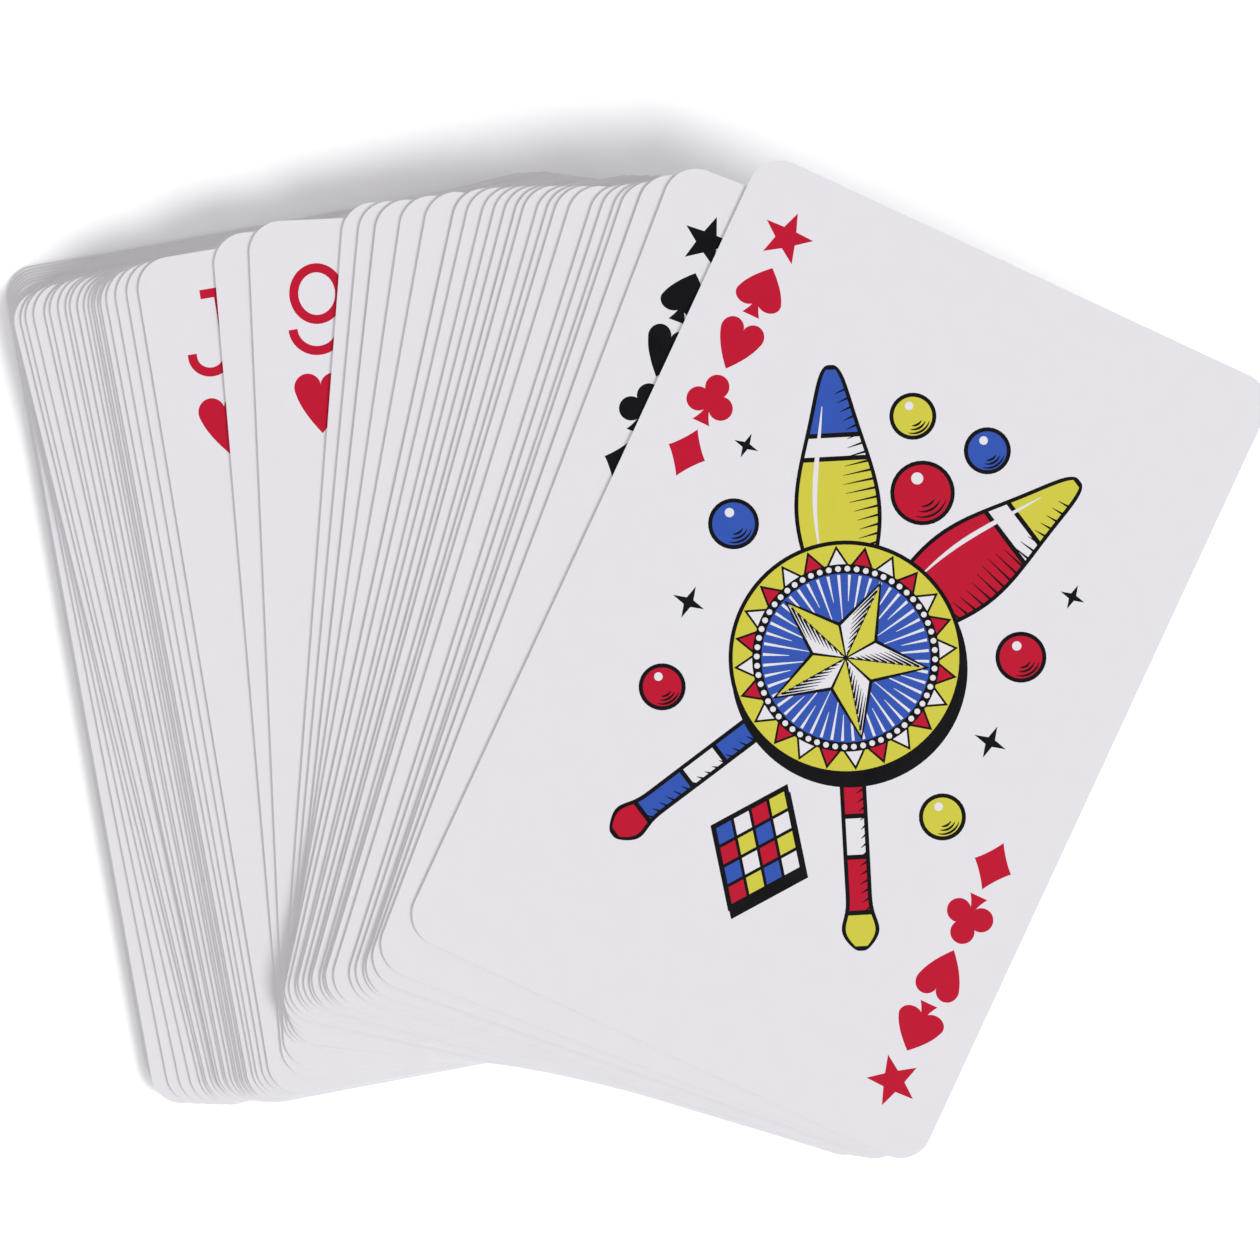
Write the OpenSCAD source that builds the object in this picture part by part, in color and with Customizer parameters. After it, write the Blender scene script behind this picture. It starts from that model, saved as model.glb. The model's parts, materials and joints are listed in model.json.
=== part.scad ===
// A pack of bridge-size playing cards spread in a fan on a table.
// Four suits of thirteen cards and two jokers lie in the order in which a new pack is sorted,
// and each card is a loose, flat, die-cut sheet that lies on the card below it.
// The bottom card stays square to the axes, with its underside's middle at the origin.

/* [Card] */
// Width of a card
card_w = 58; // [50:0.5:70]
// Length of a card
card_l = 88; // [80:0.5:100]
// Thickness of a card
card_t = 0.28; // [0.2:0.01:0.5]
// Radius of the die-cut corners
corner_r = 3.3; // [1:0.1:8]
// Air between a card and the one below it
air = 0.03; // [0.02:0.01:0.1]

/* [Fan] */
// How far the fan is spread: 0 is the squared pack, 1 is the fan as it lies
spread = 1; // [0:0.05:1.7]
// Clockwise angle from the bottom card's length to the fan's upright
lean = 10.3; // [0:0.1:20]
// Distance from the bottom card's middle, along the upright, to the line that crosses the strips
strip_line = 28; // [20:0.5:36]

/* [Hidden] */
suits = ["diamonds", "clubs", "hearts", "spades"];
ranks = [
    "king", "queen", "jack", "ten", "nine", "eight", "seven", "six", "five", "four", "three", "two", "ace"
];
jokers = ["black_joker", "red_joker"];

NODES = concat([for (suit = suits, rank = ranks) str(rank, "_of_", suit)], jokers);

// Width of the strip of each card that the card above leaves bare, from king to ace
diamond_strips = [0.1, 0.1, 0.1, 0.1, 0.1, 0.5, 0.1, 0, -0.2, 0.8, 0.6, 0.9, 1.2];
club_strips = [0.6, 0.9, 0.8, 0.5, 0.8, 0.7, 0.5, 0.4, 0.3, 0.4, 0.3, 0.7, 1];
heart_strips = [1.2, 1.2, 7.5, 3.3, 8.1, 1.5, 1.5, 2, 2, 2.3, 1.2, 1.4, 1];
spade_strips = [1, 1, 0.7, 1.3, 0.9, 0.7, 1.3, 2.1, 1, 1.1, 0.6, 1.4, 1.9];
black_joker_strip = 6.7;
strips = concat(diamond_strips, club_strips, heart_strips, spade_strips, [black_joker_strip]);

// Clockwise turn from the bottom card at some of the cards, and those between share out the change
turn_cards = [
    "king_of_diamonds", "eight_of_diamonds", "four_of_diamonds", "ace_of_diamonds", "jack_of_clubs",
    "six_of_clubs", "ace_of_clubs", "king_of_hearts", "queen_of_hearts", "jack_of_hearts", "ten_of_hearts",
    "nine_of_hearts", "eight_of_hearts", "six_of_hearts", "three_of_hearts", "king_of_spades",
    "ten_of_spades", "five_of_spades", "two_of_spades", "ace_of_spades", "black_joker", "red_joker"
];
turn_angles = [
    0, 0, -3.5, -2.8, -1.5,
    -0.6, -0.4, 0, 0.4, 0.8, 5.4,
    7.8, 14.6, 16.6, 22.6, 24.6,
    25.7, 27.9, 28.9, 29.8, 31.1, 35.2
];

// Distance from the strip line up to the top left corner, beyond the bottom card's own, at some of the cards
rise_cards = [
    "king_of_diamonds", "four_of_diamonds", "jack_of_clubs", "two_of_clubs", "jack_of_hearts",
    "ten_of_hearts", "nine_of_hearts", "eight_of_hearts", "six_of_hearts", "three_of_hearts",
    "king_of_spades", "six_of_spades", "two_of_spades", "ace_of_spades", "black_joker", "red_joker"
];
rises = [
    0, -2.8, -1.4, -1, 0.4,
    3.1, 4.4, 6.7, 7.1, 8.8,
    9.2, 9.4, 10, 10.8, 11.7, 13.4
];

// A card's number from the bottom of the pack, and a value at that number among those given at some cards
function number_of(card) = [for (i = [0 : len(NODES) - 1]) if (NODES[i] == card) i + 1][0];
function between(number, cards, values) =
    lookup(number, [for (i = [0 : len(cards) - 1]) [number_of(cards[i]), values[i]]]);

// Directions along the length and across the width of a card turned clockwise by an angle
function along(angle) = [sin(angle), cos(angle)];
function across(angle) = [cos(angle), -sin(angle)];

// The bottom card's left edge crosses the strip line here, and its top corner stands this far above
first_crossing = (-card_w / 2 - strip_line * sin(lean)) / cos(lean);
first_rise = card_l / 2 - strip_line * cos(lean) + first_crossing * sin(lean);

function sum(list, count) = count <= 0 ? 0 : list[count - 1] + sum(list, count - 1);
function turn(number) = between(number, turn_cards, turn_angles);

// Where a card's left edge crosses the strip line, its top left corner and its middle, in the open fan
function crossing(number) =
    strip_line * along(lean) + (first_crossing + sum(strips, number - 1)) * across(lean);
function corner(number) =
    crossing(number) + (first_rise + between(number, rise_cards, rises)) * along(turn(number));
function middle(number) =
    corner(number) + card_w / 2 * across(turn(number)) - card_l / 2 * along(turn(number));

// The one point about which a turn takes a card from the squared pack to its place in the fan
function pole(number) =
    let (m = middle(number)) m / 2 + [m.y, -m.x] / (2 * tan(turn(number) / 2));

// Moves a card from the squared pack into the fan: cards that don't turn slide straight to their place
module fanned(number) {
    if (turn(number) == 0) {
        translate(spread * middle(number)) children();
    } else {
        translate(pole(number)) rotate(-spread * turn(number)) translate(-pole(number)) children();
    }
}

// A rectangle with round corners, as the die cuts it
module card_outline() {
    square([card_w - 2 * corner_r, card_l], center = true);
    square([card_w, card_l - 2 * corner_r], center = true);
    for (x = [-1, 1], y = [-1, 1])
        translate([x * (card_w / 2 - corner_r), y * (card_l / 2 - corner_r)])
            circle(r = corner_r, $fn = 48);
}

// One card, by its number from the bottom of the pack
module card(number) {
    color("whitesmoke")
        translate([0, 0, (number - 1) * (card_t + air)])
            linear_extrude(card_t)
                fanned(number) card_outline();
}

for (number = [1 : len(NODES)])
    card(number);
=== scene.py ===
import json
import math

import bpy
import numpy as np
from mathutils.geometry import delaunay_2d_cdt
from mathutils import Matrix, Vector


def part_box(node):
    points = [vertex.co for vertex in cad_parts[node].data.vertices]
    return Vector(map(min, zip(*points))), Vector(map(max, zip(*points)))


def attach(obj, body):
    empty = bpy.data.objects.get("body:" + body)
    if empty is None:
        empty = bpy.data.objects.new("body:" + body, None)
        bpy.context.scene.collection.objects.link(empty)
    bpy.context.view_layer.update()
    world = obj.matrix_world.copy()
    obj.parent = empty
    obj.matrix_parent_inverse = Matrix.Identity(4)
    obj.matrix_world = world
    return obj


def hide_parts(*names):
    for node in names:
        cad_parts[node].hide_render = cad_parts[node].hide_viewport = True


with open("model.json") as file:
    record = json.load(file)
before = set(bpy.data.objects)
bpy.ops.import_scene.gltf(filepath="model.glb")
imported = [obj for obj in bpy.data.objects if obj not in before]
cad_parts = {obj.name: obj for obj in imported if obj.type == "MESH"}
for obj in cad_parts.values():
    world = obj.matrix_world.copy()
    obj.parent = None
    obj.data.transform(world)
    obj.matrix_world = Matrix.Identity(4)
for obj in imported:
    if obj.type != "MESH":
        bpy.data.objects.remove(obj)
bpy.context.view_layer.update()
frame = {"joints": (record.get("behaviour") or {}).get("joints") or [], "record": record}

# The card blank: white coated board of bridge size, cut from the printed sheet by a steel die. The die
# presses the upper edge round by a hair, breaks the lower one and bares the board's core on the cut. Each
# card of the pack starts as this blank and lies loose on the one below it.
MM = 0.001
CORNER_R = 3.3
INSIDE = 0.005
ROLL_OVER = 0.02
LOWER_BREAK = 0.02
CORNER_STEPS = 16
ROLL_STEPS = 3
CUT_DRIFT = 0.37
FINE_FIBRE = 5.0
CLOUDY_FIBRE = 0.35
FIBRE_RISE = 0.6
FIBRE_SPAN = (0.2, 0.8)
VARNISH_DRIFT = 0.05
VARNISH_SHINE = 0.35
MERGED = 1e-5
UNFOLDED_MM = 120.0
FACE_ON_MAP = (30.0, 45.0)
BACK_ON_MAP = (90.0, 45.0)

first_low, first_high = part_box("king_of_diamonds")
second_low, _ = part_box("queen_of_diamonds")
CARD_W = (first_high.x - first_low.x) / MM
CARD_L = (first_high.y - first_low.y) / MM
CARD_T = (first_high.z - first_low.z) / MM

quarter = np.radians(np.linspace(0, 90, CORNER_STEPS + 1))
corner_turn = np.repeat(np.radians([0, 90, 180, 270]), CORNER_STEPS + 1)
around = np.tile(quarter, 4) + corner_turn
corner_way = np.column_stack((np.cos(around), np.sin(around)))
corner_bisector = corner_turn + math.pi / 4
corner_side = np.sign(np.column_stack((np.cos(corner_bisector), np.sin(corner_bisector))))
corner_middle = corner_side * (CARD_W / 2 - CORNER_R, CARD_L / 2 - CORNER_R)


def edge_profile():
    """Inset and depth of the rings that run round the edge: a quarter circle for the edge that is pressed
    round, the straight cut, and the broken lower edge."""
    turn = np.radians(np.linspace(0, 90, ROLL_STEPS + 1))
    inset = np.concatenate((ROLL_OVER * (1 - np.sin(turn)), [0, LOWER_BREAK]))
    depth = np.concatenate((ROLL_OVER * (1 - np.cos(turn)), [CARD_T - LOWER_BREAK, CARD_T]))
    return INSIDE + inset, depth


def linear(*picked):
    """A colour as picked on a screen, 0 to 255, as the light that it sends back, 0 to 1."""
    share = np.array(picked) / 255
    return (*np.where(share <= 0.04045, share / 12.92, ((share + 0.055) / 1.055) ** 2.4), 1.0)


def node(tree, kind, *inputs, **settings):
    """Adds a shader node with its settings and feeds its inputs in order: a socket is linked, a value is
    written."""
    made = tree.nodes.new("ShaderNode" + kind)
    for name, value in settings.items():
        setattr(made, name, value)
    for socket, value in zip(made.inputs, inputs):
        if isinstance(value, bpy.types.NodeSocket):
            tree.links.new(value, socket)
        elif value is not None:
            socket.default_value = value
    return made


def calculate(tree, operation, *inputs):
    """One step of arithmetic on a value over the surface."""
    return node(tree, "Math", *inputs, operation=operation).outputs[0]


def board_texture():
    """The surface of varnished card, from its place in millimetres: shallow dimples pressed in rows, as
    the product of two sine waves, and cloudy paper fibre, as noise at two scales."""
    group = bpy.data.node_groups.new("board texture", "ShaderNodeTree")
    group.interface.new_socket("Place", in_out="INPUT", socket_type="NodeSocketVector")
    group.interface.new_socket("Pitch", in_out="INPUT", socket_type="NodeSocketFloat")
    group.interface.new_socket("Height", in_out="OUTPUT", socket_type="NodeSocketFloat")
    group.interface.new_socket("Fibre", in_out="OUTPUT", socket_type="NodeSocketFloat")
    inside = group.nodes.new("NodeGroupInput").outputs
    outside = group.nodes.new("NodeGroupOutput").inputs
    axes = node(group, "SeparateXYZ", inside["Place"]).outputs
    rate = calculate(group, "DIVIDE", 2 * math.pi, inside["Pitch"])
    waves = [calculate(group, "SINE", calculate(group, "MULTIPLY", axes[i], rate)) for i in (0, 1)]
    dimples = calculate(group, "MULTIPLY", *waves)
    fine, cloud = [
        node(group, "TexNoise", inside["Place"], None, scale, detail, noise_dimensions="2D").outputs[0]
        for scale, detail in ((FINE_FIBRE, 2.0), (CLOUDY_FIBRE, 3.0))
    ]
    height = calculate(group, "MULTIPLY_ADD", fine, FIBRE_RISE, dimples)
    halves = [calculate(group, "MULTIPLY", noise, 0.5) for noise in (fine, cloud)]
    group.links.new(height, outside["Height"])
    group.links.new(calculate(group, "ADD", *halves), outside["Fibre"])
    return group


BOARD_TEXTURE = board_texture()


def printed_board(name, colour, shade, roughness=0.33, pitch=0.45, relief=0.0012):
    """Varnished board in one ink: the colour drifts to its shade with the fibre, which also dulls the
    varnish, and the pressed dimples stand the relief high, in millimetres."""
    material = bpy.data.materials.new(name)
    material.use_nodes = True
    tree = material.node_tree
    shader = tree.nodes["Principled BSDF"]
    shader.inputs["Specular IOR Level"].default_value = VARNISH_SHINE
    on_map = node(tree, "UVMap", uv_map="unfolded").outputs[0]
    place = node(tree, "VectorMath", on_map, (UNFOLDED_MM,) * 3, operation="MULTIPLY").outputs[0]
    texture = node(tree, "Group", node_tree=BOARD_TEXTURE)
    tree.links.new(place, texture.inputs["Place"])
    texture.inputs["Pitch"].default_value = pitch
    fibre = texture.outputs["Fibre"]
    drifting = node(tree, "MixRGB", fibre, linear(*colour), linear(*shade)).outputs[0]
    tree.links.new(drifting, shader.inputs["Base Color"])
    gloss_range = (roughness - VARNISH_DRIFT, roughness + VARNISH_DRIFT)
    dull = node(tree, "MapRange", fibre, *FIBRE_SPAN, *gloss_range).outputs[0]
    tree.links.new(dull, shader.inputs["Roughness"])
    bump = node(tree, "Bump")
    bump.inputs["Distance"].default_value = relief * MM
    tree.links.new(texture.outputs["Height"], bump.inputs["Height"])
    tree.links.new(bump.outputs[0], shader.inputs["Normal"])
    return material


coated_face = printed_board("coated face", (233, 232, 236), (227, 226, 230))
# Cut edges in three tones that change from card to card: the darker ones are painted shade for the gaps
# between the cards on the pack's side.
EDGE_BEAT = 23
EDGE_TONES = {
    "lightest": ((249, 248, 248), (240, 239, 238)),
    "plain": ((243, 242, 242), (234, 233, 232)),
    "dull": ((229, 228, 227), (219, 218, 216)),
}
cut_edges = [
    printed_board(tone + " cut edge", *colours, roughness=0.8, pitch=0.11, relief=0.01)
    for tone, colours in EDGE_TONES.items()
]


def edge_of_row(row):
    """The tone of a card's cut edge. The darker tones are painted shade, standing in for the dark gaps
    between the cards that show along the side of a real pack. What remains of the row's square by the beat,
    and of that by the count of tones, changes from card to card unevenly."""
    return cut_edges[row ** 2 % EDGE_BEAT % len(cut_edges)]


# The card back, blue on white and the same whichever way up the card lies: a white border, a fine line
# round a field of lattice, and a small white lozenge in each cell. It is printed on the blank's lower face.
BACK_BORDER = 4.0
FIELD_LINE = 0.6
LATTICE = 5.0
LATTICE_LINE = 0.55
CELL_LOZENGE = 1.05
BACK_WHITE = (235, 234, 238)


def lattice_print():
    """White on the card's back, from its place in millimetres from the middle. Distance inwards from the
    field's edge gives the border and the line round the field. Two sloping axes, folded over each cell,
    give the lattice: the lines lie at the fold's ends, the lozenge at its middle."""
    group = bpy.data.node_groups.new("lattice print", "ShaderNodeTree")
    group.interface.new_socket("Place", in_out="INPUT", socket_type="NodeSocketVector")
    group.interface.new_socket("White", in_out="OUTPUT", socket_type="NodeSocketFloat")
    axes = node(group, "SeparateXYZ", group.nodes.new("NodeGroupInput").outputs["Place"]).outputs
    sides = [calculate(group, "SUBTRACT", half - BACK_BORDER, calculate(group, "ABSOLUTE", axis))
             for half, axis in ((CARD_W / 2, axes[0]), (CARD_L / 2, axes[1]))]
    inwards = calculate(group, "MINIMUM", *sides)
    border = calculate(group, "LESS_THAN", inwards, 0.0)
    inner_line = calculate(group, "COMPARE", inwards, 1.5 * FIELD_LINE, FIELD_LINE / 2)
    inside_line = calculate(group, "GREATER_THAN", inwards, 2 * FIELD_LINE)
    slopes = [calculate(group, kind, axes[0], axes[1]) for kind in ("ADD", "SUBTRACT")]
    folds = [calculate(group, "PINGPONG", slope, LATTICE / 2) for slope in slopes]
    lines = calculate(group, "LESS_THAN", calculate(group, "MINIMUM", *folds), LATTICE_LINE / 2)
    from_middle = [calculate(group, "SUBTRACT", LATTICE / 2, fold) for fold in folds]
    lozenge = calculate(group, "LESS_THAN", calculate(group, "MAXIMUM", *from_middle), CELL_LOZENGE)
    lattice = calculate(group, "MULTIPLY", inside_line, calculate(group, "MAXIMUM", lines, lozenge))
    white = calculate(group, "MAXIMUM", calculate(group, "MAXIMUM", border, inner_line), lattice)
    group.links.new(white, group.nodes.new("NodeGroupOutput").inputs["White"])
    return group


def lattice_back():
    """The back's board: its blue ink, left white where the lattice print says so."""
    material = printed_board("card back", (49, 84, 172), (43, 75, 158))
    tree = material.node_tree
    shader = tree.nodes["Principled BSDF"]
    blue = shader.inputs["Base Color"].links[0].from_socket
    on_map = node(tree, "UVMap", uv_map="unfolded").outputs[0]
    place = node(tree, "VectorMath", on_map, (UNFOLDED_MM,) * 3, operation="MULTIPLY").outputs[0]
    from_middle = node(tree, "VectorMath", place, (*BACK_ON_MAP, 0), operation="SUBTRACT").outputs[0]
    lattice = node(tree, "Group", node_tree=lattice_print())
    tree.links.new(from_middle, lattice.inputs["Place"])
    printed = node(tree, "MixRGB", lattice.outputs["White"], blue, linear(*BACK_WHITE)).outputs[0]
    tree.links.new(printed, shader.inputs["Base Color"])
    return material


card_back = lattice_back()

joint_of = {joint["child"]: joint for joint in frame["joints"]}
ratio_of = {link["joint"]: link["ratio"] for link in frame["record"]["behaviour"]["couplings"]}
OPENING = -math.radians(joint_of["red_joker"]["range_deg"][0])


def fanned(card, points):
    """Carries points from the squared pack, in metres, to the card's place in the fan: a clockwise turn
    about the card's own pole, or a straight slide where it doesn't turn."""
    joint = joint_of.get(card)
    if joint is None:
        return points
    travel = OPENING * ratio_of.get(joint["name"], 1.0)
    if joint["type"] == "slide":
        return points + travel * np.array(joint["axis"][:2])
    pole = complex(*joint["pos_m"][:2])
    turned = pole + (points @ (1, 1j) - pole) * np.exp(-1j * travel)
    return np.column_stack((turned.real, turned.imag))


def anticlockwise(outline):
    """The outline in anticlockwise order, where the sum of cross products, twice the area, is positive."""
    onward = np.roll(outline, -1, axis=0)
    twice_area = np.sum(outline[:, 0] * onward[:, 1] - outline[:, 1] * onward[:, 0])
    return outline if twice_area > 0 else outline[::-1]


def printed_face(edge, print_layers):
    """Cuts the face into triangles along its edge and the ink outlines, where the last outline over a
    triangle gives its ink. Returns the points, the triangles, their inks, and the points that the edge
    runs through."""
    outlines = [edge] + [anticlockwise(outline) for ink, outline in print_layers]
    inks = [coated_face] + [ink for ink, outline in print_layers]
    ends = np.cumsum([len(outline) for outline in outlines])
    loops = [list(range(end - len(outline), end)) for outline, end in zip(outlines, ends)]
    corners = np.concatenate(outlines).tolist()
    spots, _, triangles, sources, _, covers = delaunay_2d_cdt(corners, [], loops, 1, MERGED)
    spots = np.array([tuple(spot) for spot in spots])
    spot_of = {source: spot for spot, merged in enumerate(sources) for source in merged}
    kept = [(face, inks[max(cover)]) for face, cover in zip(triangles, covers) if cover]
    faces, face_inks = zip(*kept)
    return spots, list(faces), list(face_inks), [spot_of[i] for i in range(len(edge))]


def lay_card(card, print_layers):
    """One card as a closed mesh: the printed face, the edge profile carried round the die line, and the
    back. The sheet is cut four rows at a time, so the print drifts along the card by its place in the
    pack."""
    low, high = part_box(card)
    row = round((low.z - first_low.z) / (second_low.z - first_low.z))
    drift = (0, CUT_DRIFT * math.cos(math.pi / 2 * row))
    inset, depth = edge_profile()
    rings = corner_middle + (CORNER_R - inset)[:, None, None] * corner_way
    unfolded = corner_middle + (CORNER_R - inset + depth)[:, None, None] * corner_way
    drifted = [(ink, outline + drift) for ink, outline in print_layers]
    spots, triangles, inks, edge = printed_face(rings[0], drifted)

    count = rings.shape[1]
    lower_rings = len(spots) + np.arange(rings[1:, :, 0].size).reshape(-1, count)
    ring_ids = np.vstack((edge, lower_rings))
    onward = np.roll(ring_ids, -1, axis=1)
    quads = np.stack((ring_ids[:-1], ring_ids[1:], onward[1:], onward[:-1]), axis=-1).reshape(-1, 4)
    faces = triangles + quads.tolist() + [ring_ids[-1][::-1].tolist()]
    flat = np.concatenate((spots, rings[1:].reshape(-1, 2)))
    drop = np.concatenate((np.zeros(len(spots)), np.repeat(depth[1:], count)))
    mesh = bpy.data.meshes.new("printed_" + card)
    mesh.from_pydata(np.column_stack((fanned(card, flat * MM), high.z - drop * MM)).tolist(), [], faces)

    rolled = ROLL_STEPS * count
    cut = [edge_of_row(row)] * (len(quads) - rolled)
    finishes = inks + [coated_face] * rolled + cut + [card_back]
    slots = {finish: slot for slot, finish in enumerate(dict.fromkeys(finishes))}
    for finish in slots:
        mesh.materials.append(finish)
    mesh.polygons.foreach_set("material_index", [slots[finish] for finish in finishes])
    smooth = np.zeros(len(faces), bool)
    smooth[len(triangles):-1] = True
    mesh.polygons.foreach_set("use_smooth", smooth)

    corner_spots = np.zeros(len(mesh.loops), int)
    mesh.loops.foreach_get("vertex_index", corner_spots)
    places = np.concatenate((spots, unfolded[1:].reshape(-1, 2)))[corner_spots] + FACE_ON_MAP
    places[-count:] = BACK_ON_MAP + flat[corner_spots[-count:]] * (-1, 1)
    layer = mesh.uv_layers.new(name="unfolded")
    layer.uv.foreach_set("vector", (places / UNFOLDED_MM).astype(np.float32).ravel())
    mesh.validate()

    piece = bpy.data.objects.new("printed_" + card, mesh)
    bpy.context.scene.collection.objects.link(piece)
    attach(piece, card)
    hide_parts(card)


# The number cards, ace to ten, in red and black ink: a rank figure over a small suit pip in two corners,
# and as many large pips as the rank says, in the rows that packs have always had. The lower half is
# printed turned round, so that the card reads alike from both ends.
INDEX_FROM_LEFT = 6.8
FIGURE_FROM_TOP = 8.95
HALF_FIGURE = 4.6
PEN = 0.95
SMALL_PIP_FROM_TOP = 18.72
SMALL_PIP = 6.25
LARGE_PIP = 11.0
ACE_PIP = 19.0
PIP_COLUMN = 11.5
PIP_ROW = 28.5
TOP_LINE = HALF_FIGURE - PEN / 2

red_ink = printed_board("red ink", (196, 22, 52), (188, 18, 47))
black_ink = printed_board("black ink", (9, 8, 11), (14, 13, 16))


def arc(middle, radii, start, end, steps=24):
    """Points on an ellipse between two angles in degrees, anticlockwise where the second is larger."""
    turn = np.radians(np.linspace(start, end, steps + 1))
    return np.array(middle) + np.column_stack((np.cos(turn), np.sin(turn))) * radii


def disc(middle, radius, steps=32):
    """A closed circle, anticlockwise."""
    return arc(middle, radius, 0, 360 - 360 / steps, steps - 1)


def ring(middle, radii):
    """A ring of pen line, as an upper and a lower half that overlap a little."""
    return [arc(middle, radii, -3, 183), arc(middle, radii, 177, 363)]


def stroke(line, width):
    """A pen stroke: its sides lie half the width from the line, along its normals. The width may vary."""
    line = np.array(line, float)
    along = np.gradient(line, axis=0)
    aside = np.column_stack((-along[:, 1], along[:, 0])) / np.linalg.norm(along, axis=1)[:, None]
    half = np.broadcast_to(np.array(width) / 2, len(line))[:, None] * aside
    return np.concatenate((line - half, (line + half)[::-1]))


def heart():
    """A heart one unit high: two round lobes, and sides that run down to the tip on a quadratic curve."""
    lobe = arc((0.215, 0.265), (0.225, 0.235), 165, -25, 16)[::-1]
    tip, pull, start = np.array((0, -0.5)), np.array((0.33, -0.13)), lobe[0]
    share = np.linspace(0, 1, 9)[:-1, None]
    side = (1 - share) ** 2 * tip + 2 * share * (1 - share) * pull + share ** 2 * start
    right = np.concatenate((side, lobe, [(0, 0.31)]))
    left = right[-2:0:-1] * (-1, 1)
    return [np.concatenate((right, left))]


def foot():
    """The flared stem under a spade or a club: two hollow sides between a point and a flat base."""
    height = np.linspace(0, 1, 9)
    half = 0.02 + 0.16 * (1 - height) ** 2.2
    right = np.column_stack((half, -0.5 + 0.5 * height))
    return np.concatenate((right, (right * (-1, 1))[::-1]))


def spade():
    """A spade: the heart stood on its lobes, a little smaller, over the flared stem."""
    return [heart()[0] * (1.06, -0.84) + (0, 0.08), foot()]


def club():
    """A club: three discs and a small one in their midst, over the flared stem."""
    middles = ((0, 0.255), (-0.235, -0.1), (0.235, -0.1), (0, 0))
    radii = (0.235, 0.235, 0.235, 0.12)
    return [disc(middle, radius) for middle, radius in zip(middles, radii)] + [foot()]


def diamond():
    """A diamond: a superellipse whose sides are a little hollow."""
    turn = np.radians(np.arange(0, 360, 7.5))
    way = np.column_stack((np.cos(turn), np.sin(turn)))
    return [np.sign(way) * np.abs(way) ** 2.25 * (0.39, 0.5)]


def moved(outlines, middle=(0, 0), size=1.0, turn=0.0):
    """Outlines scaled, turned clockwise in degrees and moved to a middle."""
    angle = math.radians(turn)
    rows = np.array(((math.cos(angle), -math.sin(angle)), (math.sin(angle), math.cos(angle))))
    return [outline * size @ rows + middle for outline in outlines]


def inked(ink, outlines):
    """Outlines as print layers of one ink."""
    return [(ink, outline) for outline in outlines]


def both_ends(layers):
    """Print layers and the same layers turned half round the card's middle."""
    return layers + [(ink, -outline) for ink, outline in layers]


def ace_figure():
    """Two leaning strokes and a bar."""
    lean = [((side * 2.4, -HALF_FIGURE), (0, HALF_FIGURE)) for side in (-1, 1)]
    return lean + [((-1.7, -1.7), (1.7, -1.7))]


def two_figure():
    """A bow, a straight run down to the left and a base bar."""
    bow = arc((0, 1.9), (2.2, 2.22), 165, -35)
    return [np.concatenate((bow, [(-2.1, -3.9)])), ((-2.6, -TOP_LINE), (2.6, -TOP_LINE))]


def three_figure():
    """Two bows, the lower one larger."""
    return [arc((0, 2.05), (1.95, 2.07), 155, -90), arc((0, -2.06), (2.3, 2.07), 90, -155)]


def four_figure():
    """A leaning stroke, a bar and a stem."""
    stem = ((1.2, HALF_FIGURE), (1.2, -HALF_FIGURE))
    return [((1.2, HALF_FIGURE), (-2.4, -1.9)), ((-2.7, -2.0), (2.7, -2.0)), stem]


def five_figure():
    """A bar, a short stem and a bow."""
    bow = arc((-0.05, -1.45), (2.4, 2.68), 138, -150)
    return [((-1.75, TOP_LINE), (2.2, TOP_LINE)), ((-1.5, HALF_FIGURE), (-1.8, 0.1)), bow]


def seven_figure():
    """A bar and a leaning stroke."""
    return [((-2.5, TOP_LINE), (2.5, TOP_LINE)), ((2.1, TOP_LINE), (-1.0, -HALF_FIGURE))]


def eight_figure():
    """Two rings, the lower one larger."""
    return ring((0, 2.15), (1.85, 1.97)) + ring((0, -1.98), (2.3, 2.15))


def nine_figure():
    """A ring, and a tail that runs down from its right side and round to the left."""
    tail = np.concatenate(([(2.38, 1.6)], arc((-0.12, -1.9), (2.5, 2.4), 0, -177)))
    return ring((0, 1.6), (2.38, 2.68)) + [tail]


def six_figure():
    """The nine, turned half round."""
    return [-np.array(line) for line in nine_figure()]


def ten_figure():
    """A stem with a flag, and a narrow ring."""
    one = [((-1.75, HALF_FIGURE), (-1.75, -HALF_FIGURE)), ((-1.75, TOP_LINE), (-2.5, 3.3))]
    return one + ring((1.2, 0), (1.45, TOP_LINE))


def index_layers(ink, figure, pip):
    """A rank figure over a small pip, in the upper left corner, and turned round in the lower right."""
    left = -CARD_W / 2 + INDEX_FROM_LEFT
    strokes = [stroke(line, PEN) for line in figure()]
    layers = inked(ink, moved(strokes, (left, CARD_L / 2 - FIGURE_FROM_TOP)))
    layers += inked(ink, moved(pip(), (left, CARD_L / 2 - SMALL_PIP_FROM_TOP), SMALL_PIP))
    return both_ends(layers)


def pip_places(count):
    """Middles of the large pips that come again turned round, and of those that stand once."""
    side_rows = (1, 1 / 3) if count > 8 else (1,) if count > 3 else ()
    middle_rows = {2: (1,), 3: (1,), 8: (1 / 2,), 10: (2 / 3,)}.get(count, ())
    twice = [(side * PIP_COLUMN, row * PIP_ROW) for side in (-1, 1) for row in side_rows]
    twice += [(0, row * PIP_ROW) for row in middle_rows]
    once = [(-PIP_COLUMN, 0), (PIP_COLUMN, 0)] if count in (6, 7, 8) else []
    once += [(0, 0)] if count in (3, 5, 9) else []
    once += [(0, PIP_ROW / 2)] if count == 7 else []
    return twice, once


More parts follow.
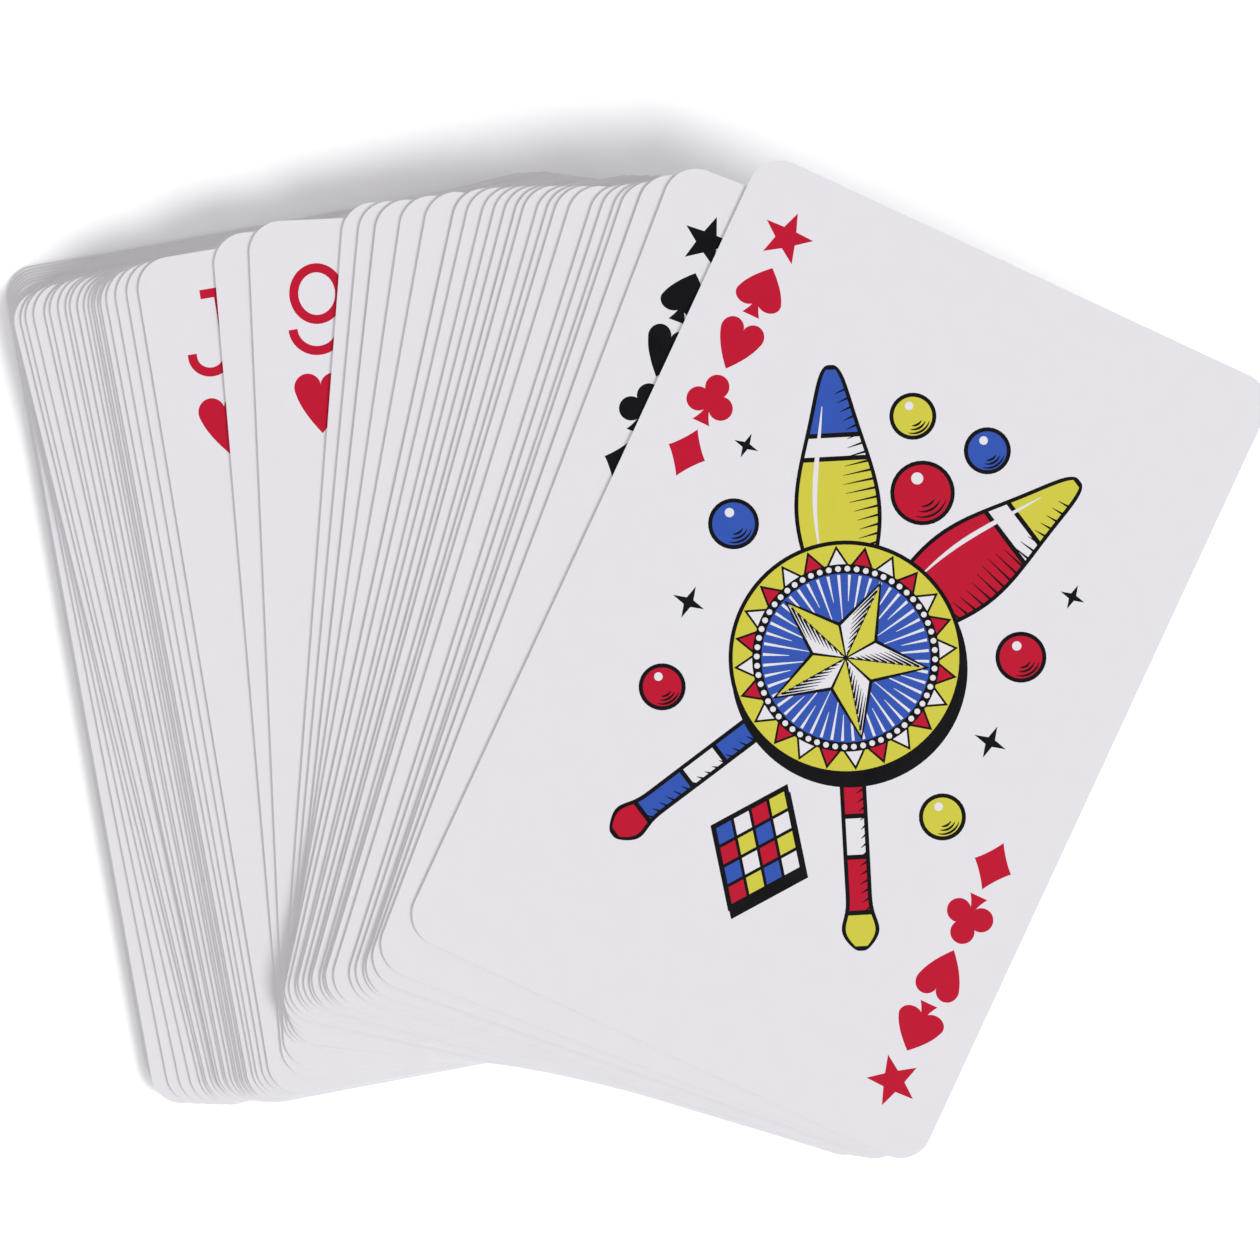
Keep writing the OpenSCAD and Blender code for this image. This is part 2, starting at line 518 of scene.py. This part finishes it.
SUITS = {
    "diamonds": (red_ink, diamond),
    "clubs": (black_ink, club),
    "hearts": (red_ink, heart),
    "spades": (black_ink, spade),
}
NUMBER_CARDS = {
    "two": (2, two_figure), "three": (3, three_figure), "four": (4, four_figure),
    "five": (5, five_figure), "six": (6, six_figure), "seven": (7, seven_figure),
    "eight": (8, eight_figure), "nine": (9, nine_figure), "ten": (10, ten_figure),
}

for suit, (ink, pip) in SUITS.items():
    ace = index_layers(ink, ace_figure, pip) + inked(ink, moved(pip(), size=ACE_PIP))
    lay_card("ace_of_" + suit, ace)
    for rank, (count, figure) in NUMBER_CARDS.items():
        twice, once = pip_places(count)
        layers = index_layers(ink, figure, pip)
        for middle in twice:
            layers += both_ends(inked(ink, moved(pip(), middle, LARGE_PIP)))
        for middle in once:
            layers += inked(ink, moved(pip(), middle, LARGE_PIP))
        lay_card(rank + "_of_" + suit, layers)


# The court cards, jack, queen and king: the same corner index with a letter of rank, and a framed panel
# of lozenges in all the pack's inks, with a crown over a pip at each end. More points mean a higher rank.
PANEL_W = 37.0
PANEL_L = 66.0
PANEL_LINE = 0.45
LOZENGE = 4.1
LOZENGE_LINE = 0.25
MEDALLION_R = 12.2
MEDALLION_UP = 13.5
COURT_PIP = 10.0
COURT_PIP_UP = 9.5
CROWN_W = 15.0
CROWN_UP = 15.2
CROWN_LINE = 0.35
MITRE_LIMIT = 0.35

blue_ink = printed_board("blue ink", (55, 91, 184), (48, 82, 174))
yellow_ink = printed_board("yellow ink", (214, 209, 76), (207, 201, 66))


def jack_figure():
    """A bar, a stem and a hook to the left."""
    hook = arc((-0.53, -2.24), (1.85, 1.75), 0, -180)
    stem = np.concatenate(([(1.32, TOP_LINE)], hook, [(-2.38, -1.85)]))
    return [((-0.56, TOP_LINE), (1.79, TOP_LINE)), stem]


def queen_figure():
    """A ring and a short tail."""
    return ring((0, 0), (2.35, TOP_LINE)) + [((0.5, -2.3), (2.6, -4.9))]


def king_figure():
    """A stem and two leaning strokes."""
    stem = ((-1.9, HALF_FIGURE), (-1.9, -HALF_FIGURE))
    return [stem, ((-1.9, -1.0), (2.2, HALF_FIGURE)), ((-0.5, 0.6), (2.4, -HALF_FIGURE))]


def grown(outline, distance):
    """A closed outline moved outwards along the bisectors of its corners, with long mitres held back."""
    way = np.roll(outline, -1, axis=0) - outline
    way = way / np.linalg.norm(way, axis=1)[:, None]
    out = np.column_stack((way[:, 1], -way[:, 0]))
    before = np.roll(out, 1, axis=0)
    spread = np.maximum(1 + np.sum(out * before, axis=1), MITRE_LIMIT)[:, None]
    return outline + distance * (out + before) / spread


def outlined(ink, outline, line):
    """A closed outline in black line, filled with an ink."""
    return [(black_ink, grown(outline, line / 2)), (ink, grown(outline, -line / 2))]


def rectangle(width, length):
    """Four corners round the middle, anticlockwise."""
    return np.array(((-1, -1), (1, -1), (1, 1), (-1, 1))) * (width / 2, length / 2)


def lozenge(half_w, half_l):
    """Four corners on the axes, anticlockwise."""
    return np.array(((half_w, 0), (0, half_l), (-half_w, 0), (0, -half_l)))


def crown(points):
    """A crown's outline: a flat base, and points that lean outwards with low valleys between them."""
    across = np.linspace(1, -1, 2 * points - 1)
    is_point = np.arange(len(across)) % 2 == 0
    rise = np.where(is_point, 0.62 - 0.1 * np.abs(across), 0.2)
    upper = np.column_stack((across * np.where(is_point, 0.5, 0.4), rise))
    return np.concatenate(([(-0.4, 0), (0.4, 0)], upper))


def court_layers(ink, pip, points):
    """The framed panel, its lozenges in turn, and the crowned pip on a white field at each end."""
    layers = outlined(coated_face, rectangle(PANEL_W, PANEL_L), PANEL_LINE)
    inks = (red_ink, yellow_ink, blue_ink)
    columns = int(PANEL_W / 2 / LOZENGE)
    rows = int(PANEL_L / 2 / LOZENGE)
    for column in range(1 - columns, columns):
        for row in range(1 - rows, rows):
            if (column + row) % 2 == 0:
                shape = lozenge(LOZENGE, LOZENGE) + (column * LOZENGE, row * LOZENGE)
                layers += outlined(inks[(row - column) // 2 % 3], shape, LOZENGE_LINE)
    upper = outlined(coated_face, disc((0, MEDALLION_UP), MEDALLION_R, 60), PANEL_LINE)
    upper += inked(ink, moved(pip(), (0, COURT_PIP_UP), COURT_PIP))
    upper += outlined(yellow_ink, crown(points) * CROWN_W + (0, CROWN_UP), CROWN_LINE)
    return layers + both_ends(upper)


COURT_CARDS = {"jack": (3, jack_figure), "queen": (4, queen_figure), "king": (5, king_figure)}
for suit, (ink, pip) in SUITS.items():
    for rank, (points, figure) in COURT_CARDS.items():
        lay_card(rank + "_of_" + suit, court_layers(ink, pip, points) + index_layers(ink, figure, pip))


# The two jokers, the top cards: a column of five marks in two corners, all black on one and all red on
# the other, and between them an engraved emblem of juggling gear in four inks: crossed clubs behind a star.
MARK_FROM_LEFT = 5.9
MARK_FROM_TOP = 7.2
MARK_PITCH = 6.05
MARK_SIZE = 5.3
EMBLEM = (0.5, 0.4)
ENGRAVED = 0.42
HATCH = 0.26
HAIR = 0.05
CLUB_LENGTH = 60.0
CLUB_LEAN = 28.0
HANDLE_R = 1.15
STREAK = 0.5
BALL_SHADE = 0.24
STAR_R = 0.52
ROUNDEL = 11.8
ROUNDEL_SHADE = (0.8, -0.9)
TEETH = 24
TOOTH_LINE = 0.22
TOOTH_FOOT = ROUNDEL - 2.3
TOOTH_TIP = ROUNDEL - 0.5
BEAD_BAND = ROUNDEL - 2.2
BEAD_RING = ROUNDEL - 2.68
BEAD_R = 0.3
BEADS = 60
BLUE_FIELD = ROUNDEL - 3.15
RAYS_FROM = ROUNDEL - 3.3
RAY = 0.3
RAY_ENDS = (3.6, 5.8)
STAR_REACH = ROUNDEL - 3.6
HARLEQUIN = (4.9, 6.6)
HARLEQUIN_AT = (0, -21.4)
HARLEQUIN_FRAME = (0.45, 0.6)
HARLEQUIN_SHADE = (0.6, -0.6)
HARLEQUIN_LINE = 0.32


def star(points=5, hollow=0.42):
    """A star one unit high from its middle: corners on two circles in turn."""
    turn = np.radians(90 + np.arange(2 * points) * 180 / points)
    reach = np.where(np.arange(2 * points) % 2 == 0, STAR_R, STAR_R * hollow)
    return [np.column_stack((np.cos(turn), np.sin(turn))) * reach[:, None]]


def club_radius(share):
    """A juggling club's radius along its length: a thin handle with a knob, and a belly, as bell curves
    added to the handle's radius, rounded off at both ends."""
    belly = 3.1 * np.exp(-((share - 0.75) / 0.16) ** 2)
    knob = 0.95 * np.exp(-((share - 0.03) / 0.03) ** 2)
    return (HANDLE_R + belly + knob) * np.sqrt(np.maximum(1 - np.abs(2 * share - 1) ** 16, 0))


def juggling_club(low, high, grow, steps=28):
    """A stretch of the club standing up, between two shares of its length, grown all along its sides. The
    points lie closer together towards both ends, as on a cosine, so that the ends come out round."""
    share = low + (high - low) * (1 - np.cos(np.linspace(0, math.pi, steps + 1))) / 2
    half = np.maximum(club_radius(share) + grow, 0.02)
    right = np.column_stack((half, (share - 0.5) * CLUB_LENGTH))
    return np.concatenate((right, (right * (-1, 1))[::-1]))


def hatching(starts, ends, width=HATCH):
    """Engraver's strokes from starts to ends, each running out to a hair."""
    return [stroke((start, end), (width, HAIR)) for start, end in zip(starts, ends)]


def swelling(line, width, ends):
    """A pen stroke that swells towards its middle, as half a sine wave does from the phase at its ends."""
    return stroke(line, width * np.sin(np.linspace(ends, math.pi - ends, len(line))))


def club_layers(bands):
    """A club with its bands of ink, a line round each, strokes of shade along its right side and a light
    streak down the belly's left."""
    layers = [(black_ink, juggling_club(0.0, 1.0, ENGRAVED / 2, 90))]
    for low, high, ink in bands:
        layers.append((ink, juggling_club(low + 0.004, high - 0.004, -ENGRAVED / 2)))
    share = np.arange(0.075, 0.96, 0.0155)
    half = club_radius(share)
    height = (share - 0.5) * CLUB_LENGTH
    reach = 0.34 + 0.16 * np.sin(share * 37)
    rim = np.column_stack((half, height))
    inner = np.column_stack((half * reach, height - 0.5))
    layers += inked(black_ink, hatching(rim, inner))
    streak = np.linspace(0.68, 0.93, 16)
    line = np.column_stack((-0.55 * club_radius(streak), (streak - 0.5) * CLUB_LENGTH))
    layers.append((coated_face, swelling(line, STREAK, 0.15)))
    return layers


def ball_layers(middle, radius, ink):
    """A juggling ball: a ring of line, a light spot, and curved strokes of shade on its lower right."""
    layers = outlined(ink, disc(middle, radius), ENGRAVED)
    light = np.array(middle) + (-0.36 * radius, 0.36 * radius)
    layers.append((coated_face, disc(light, 0.2 * radius, 24)))
    for share in (0.8, 0.62, 0.44):
        fan = 24 * (0.8 - share)
        line = arc(middle, share * radius, fan - 80, 8 - fan, 10)
        layers.append((black_ink, swelling(line, BALL_SHADE, 0.25)))
    return layers


def star_layers(reach):
    """A star of five raised points, each of two facets: one in ink on the lit side, the other hatched."""
    corners = star()[0] / STAR_R * reach
    layers = [(black_ink, grown(corners, ENGRAVED / 2))]
    share = np.linspace(0.1, 0.92, 9)[:, None]
    for tip, before, after in zip(corners[::2], np.roll(corners, 1, axis=0)[::2], corners[1::2]):
        layers.append((yellow_ink, grown(np.array(((0, 0), before, tip)), -ENGRAVED / 3)))
        layers.append((coated_face, grown(np.array(((0, 0), tip, after)), -ENGRAVED / 3)))
        layers += inked(black_ink, hatching(tip * share, (tip * 0.35 + after * 0.65) * share))
    return layers


def roundel_layers():
    """The star's roundel: a toothed rim in three inks, a string of beads, and white rays on blue."""
    layers = outlined(yellow_ink, disc((0, 0), ROUNDEL, 96), ENGRAVED)
    for number in range(TEETH):
        turn = np.radians((number + np.array((-0.42, 0.0, 0.42))) * 360 / TEETH)
        reach = np.array((TOOTH_FOOT, TOOTH_TIP, TOOTH_FOOT))
        tooth = np.column_stack((np.cos(turn), np.sin(turn))) * reach[:, None]
        layers += outlined(red_ink if number % 2 else coated_face, anticlockwise(tooth), TOOTH_LINE)
    layers.append((black_ink, disc((0, 0), BEAD_BAND, 72)))
    layers += inked(coated_face, [disc(bead, BEAD_R, 12) for bead in disc((0, 0), BEAD_RING, BEADS)])
    layers.append((blue_ink, disc((0, 0), BLUE_FIELD, 72)))
    turn = np.radians(np.arange(0, 360, 7.5))
    way = np.column_stack((np.cos(turn), np.sin(turn)))
    inner = np.where(np.arange(len(turn)) % 2 == 0, *RAY_ENDS)[:, None]
    layers += inked(coated_face, hatching(way * RAYS_FROM, way * inner, RAY))
    return layers


def harlequin_layers(half_w, half_l):
    """A tall lozenge of sixteen small ones in four inks, in a black frame over its own black shade."""
    inks = (red_ink, yellow_ink, blue_ink, coated_face)
    frame_line = lozenge(half_w + HARLEQUIN_FRAME[0], half_l + HARLEQUIN_FRAME[1])
    layers = [(black_ink, frame_line + HARLEQUIN_SHADE), (black_ink, frame_line)]
    small = lozenge(half_w / 4, half_l / 4)
    for across in range(4):
        for up in range(4):
            middle = ((across - up) * half_w / 4, (across + up - 3) * half_l / 4)
            layers.append((inks[(across + 2 * up) % 4], grown(small + middle, -HARLEQUIN_LINE / 2)))
    return layers


def shifted(layers, middle=(0, 0), turn=0.0):
    """Print layers turned clockwise and moved."""
    return [(ink, moved([outline], middle, 1.0, turn)[0]) for ink, outline in layers]


def emblem_layers():
    """The emblem from back to front: crossed clubs, roundel and star, balls, lozenge and sparks."""
    bands = (
        (0.004, 0.065, yellow_ink), (0.065, 0.16, red_ink), (0.16, 0.23, coated_face),
        (0.23, 0.3, red_ink), (0.3, 0.37, coated_face), (0.37, 0.44, red_ink), (0.44, 0.62, blue_ink),
        (0.62, 0.66, coated_face), (0.66, 0.84, yellow_ink), (0.84, 0.88, coated_face),
        (0.88, 0.996, blue_ink),
    )
    balls = (
        ((0.0, 18.6), 3.1, red_ink), ((-4.2, 25.3), 2.2, yellow_ink), ((4.2, 25.3), 2.2, blue_ink),
        ((-16.2, 7.6), 2.4, blue_ink), ((16.2, 7.6), 2.4, red_ink),
        ((-15.8, -10.6), 2.2, red_ink), ((15.8, -10.6), 2.2, yellow_ink),
    )
    sparks = (((-17.0, -1.6), 3.4), ((17.0, -1.6), 3.4), ((-18.4, 15.4), 2.6), ((18.4, 15.4), 2.6))
    swapped = {yellow_ink: red_ink, red_ink: blue_ink, blue_ink: yellow_ink, coated_face: coated_face}
    other_bands = [(low, high, swapped[ink]) for low, high, ink in bands]
    layers = shifted(club_layers(bands), turn=-CLUB_LEAN)
    layers += shifted(club_layers(other_bands), turn=CLUB_LEAN)
    layers.append((black_ink, disc(ROUNDEL_SHADE, ROUNDEL + 0.3, 90)))
    layers += roundel_layers() + star_layers(STAR_REACH)
    for middle, radius, ink in balls:
        layers += ball_layers(middle, radius, ink)
    layers += shifted(harlequin_layers(*HARLEQUIN), HARLEQUIN_AT)
    for middle, size in sparks:
        layers += inked(black_ink, moved(star(4, 0.3), middle, size))
    return shifted(layers, EMBLEM)


def mark_layers(ink):
    """The column of five marks in the upper left corner, and turned round in the lower right one."""
    left = -CARD_W / 2 + MARK_FROM_LEFT
    layers = []
    for number, mark in enumerate((star, spade, heart, club, diamond)):
        height = CARD_L / 2 - MARK_FROM_TOP - number * MARK_PITCH
        layers += inked(ink, moved(mark(), (left, height), MARK_SIZE))
    return both_ends(layers)


for card, ink in (("black_joker", black_ink), ("red_joker", red_ink)):
    lay_card(card, emblem_layers() + mark_layers(ink))


# The table, the light and the camera: a plain white table just under the bottom card, with shade painted
# on it next to the pack where the pack hides the lamp, a large soft lamp at the picture's lower right and a
# weak one below it, a bright room that is dark right overhead, where it would show in the varnish, and a
# camera that looks straight down on the fan.
TABLE_GAP = 0.0002
TABLE_SIZE = 6.0
TABLE_WHITE = 0.85
TABLE_SHOWN = 1.3
MOTTLE = 0.005
MOTTLE_SCALE = 40.0
# Shade painted on the table next to the pack: how far, in metres, the look towards the lamp reaches, and
# how deep the painted shade goes.
PAINTED_SHADE_REACH = 0.02
PAINTED_SHADE_DEPTH = 0.45
ROOM_LIGHT = 0.75
ROOM_TINT = (1.0, 0.985, 1.01, 1.0)
DARK_TOP = 25.0
DARK_TOP_BLUR = 8.0
WHITE_BELOW = (0.4, 0.5)
DARK_TOP_SHARE = 0.05
LAMP_SHARE = 0.34
LAMP_HEIGHT = 46.5
LAMP_ROUND = 26.0
LAMP_SPREAD = 20.0
FILL_SHARE = 0.06
FILL_HEIGHT = 42.0
FILL_ROUND = 100.0
FILL_SPREAD = 40.0
CAMERA_TURN = 10.3
CAMERA_OVER = (0.0295, -0.0050)
CAMERA_HEIGHT = 0.525
LENS = 142.0

table_mesh = bpy.data.meshes.new("table")
table_corners = np.column_stack((rectangle(TABLE_SIZE, TABLE_SIZE), np.full(4, -TABLE_GAP)))
table_mesh.from_pydata(table_corners.tolist(), [], [(0, 1, 2, 3)])
table = bpy.data.objects.new("table", table_mesh)
bpy.context.scene.collection.objects.link(table)


def seen_directly(tree):
    """One for a ray from the camera, a reflection or a glass, and nought for a ray that carries light."""
    path = node(tree, "LightPath").outputs
    straight = calculate(tree, "MAXIMUM", path["Is Camera Ray"], path["Is Glossy Ray"])
    return calculate(tree, "MAXIMUM", straight, path["Is Transmission Ray"])


white_table = bpy.data.materials.new("white table")
white_table.use_nodes = True
tree = white_table.node_tree
on_table = node(tree, "TexCoord").outputs["Object"]
mottle = node(tree, "TexNoise", on_table, None, MOTTLE_SCALE, 2.0).outputs[0]
uneven = node(tree, "MapRange", mottle, 0.0, 1.0, 1 - MOTTLE, 1 + MOTTLE).outputs[0]
lamp_way = math.radians(-LAMP_ROUND - CAMERA_TURN)
lamp_rise = math.radians(LAMP_HEIGHT)
to_lamp = node(tree, "CombineXYZ", math.cos(lamp_way) * math.cos(lamp_rise),
               math.sin(lamp_way) * math.cos(lamp_rise), math.sin(lamp_rise)).outputs[0]
# Painted shade: seen from the camera, the table is darkened where rays spread round the way to the soft
# lamp meet the pack within the reach. This deepens the shadow that the lamps cast beside the pack.
unhidden = node(tree, "AmbientOcclusion", None, PAINTED_SHADE_REACH, to_lamp).outputs["AO"]
open_to_lamp = calculate(tree, "MAXIMUM", unhidden, node(tree, "NewGeometry").outputs["Backfacing"])
deepest = TABLE_SHOWN * (1 - PAINTED_SHADE_DEPTH)
painted_shade = node(tree, "MapRange", open_to_lamp, 0.0, 1.0, deepest, TABLE_SHOWN).outputs[0]
level = node(tree, "MapRange", seen_directly(tree), 0.0, 1.0, TABLE_WHITE, painted_shade).outputs[0]
matt = node(tree, "BsdfDiffuse", calculate(tree, "MULTIPLY", uneven, level))
tree.links.new(matt.outputs[0], tree.nodes["Material Output"].inputs["Surface"])
table_mesh.materials.append(white_table)

room = bpy.data.worlds.new("room")
room.use_nodes = True
bpy.context.scene.world = room
tree = room.node_tree
upward = node(tree, "SeparateXYZ", node(tree, "TexCoord").outputs["Generated"]).outputs[2]
top_edge = [math.cos(math.radians(DARK_TOP + blur)) for blur in (DARK_TOP_BLUR, -DARK_TOP_BLUR)]
carried = node(tree, "MapRange", upward, *top_edge, ROOM_LIGHT, ROOM_LIGHT * DARK_TOP_SHARE,
               interpolation_type="SMOOTHSTEP").outputs[0]
low_down = node(tree, "MapRange", upward, *WHITE_BELOW, 1.0, 0.0).outputs[0]
white = calculate(tree, "MULTIPLY", seen_directly(tree), low_down)
strength = calculate(tree, "MULTIPLY_ADD", white, calculate(tree, "SUBTRACT", 1.0, carried), carried)
tree.links.new(strength, tree.nodes["Background"].inputs["Strength"])
tint = node(tree, "MixRGB", white, ROOM_TINT, (1, 1, 1, 1)).outputs[0]
tree.links.new(tint, tree.nodes["Background"].inputs["Color"])


def hang_lamp(name, share, height, round_table, spread):
    """A far soft lamp that gives a share of the table's light: its height over the table, its way round
    from the picture's right, clockwise, and its width, in degrees."""
    lamp = bpy.data.lights.new(name, "SUN")
    lamp.energy = share * math.pi / math.sin(math.radians(height))
    lamp.angle = math.radians(spread)
    hung = bpy.data.objects.new(name, lamp)
    hung.rotation_euler = (0, math.radians(90 - height), math.radians(-round_table - CAMERA_TURN))
    bpy.context.scene.collection.objects.link(hung)


hang_lamp("soft_lamp", LAMP_SHARE, LAMP_HEIGHT, LAMP_ROUND, LAMP_SPREAD)
hang_lamp("fill_lamp", FILL_SHARE, FILL_HEIGHT, FILL_ROUND, FILL_SPREAD)

camera = bpy.data.cameras.new("overhead")
camera.lens = LENS
camera_object = bpy.data.objects.new("overhead", camera)
camera_object.location = (*CAMERA_OVER, CAMERA_HEIGHT)
camera_object.rotation_euler = (0, 0, math.radians(-CAMERA_TURN))
bpy.context.scene.collection.objects.link(camera_object)
bpy.context.scene.camera = camera_object
bpy.context.scene.view_settings.view_transform = "Standard"
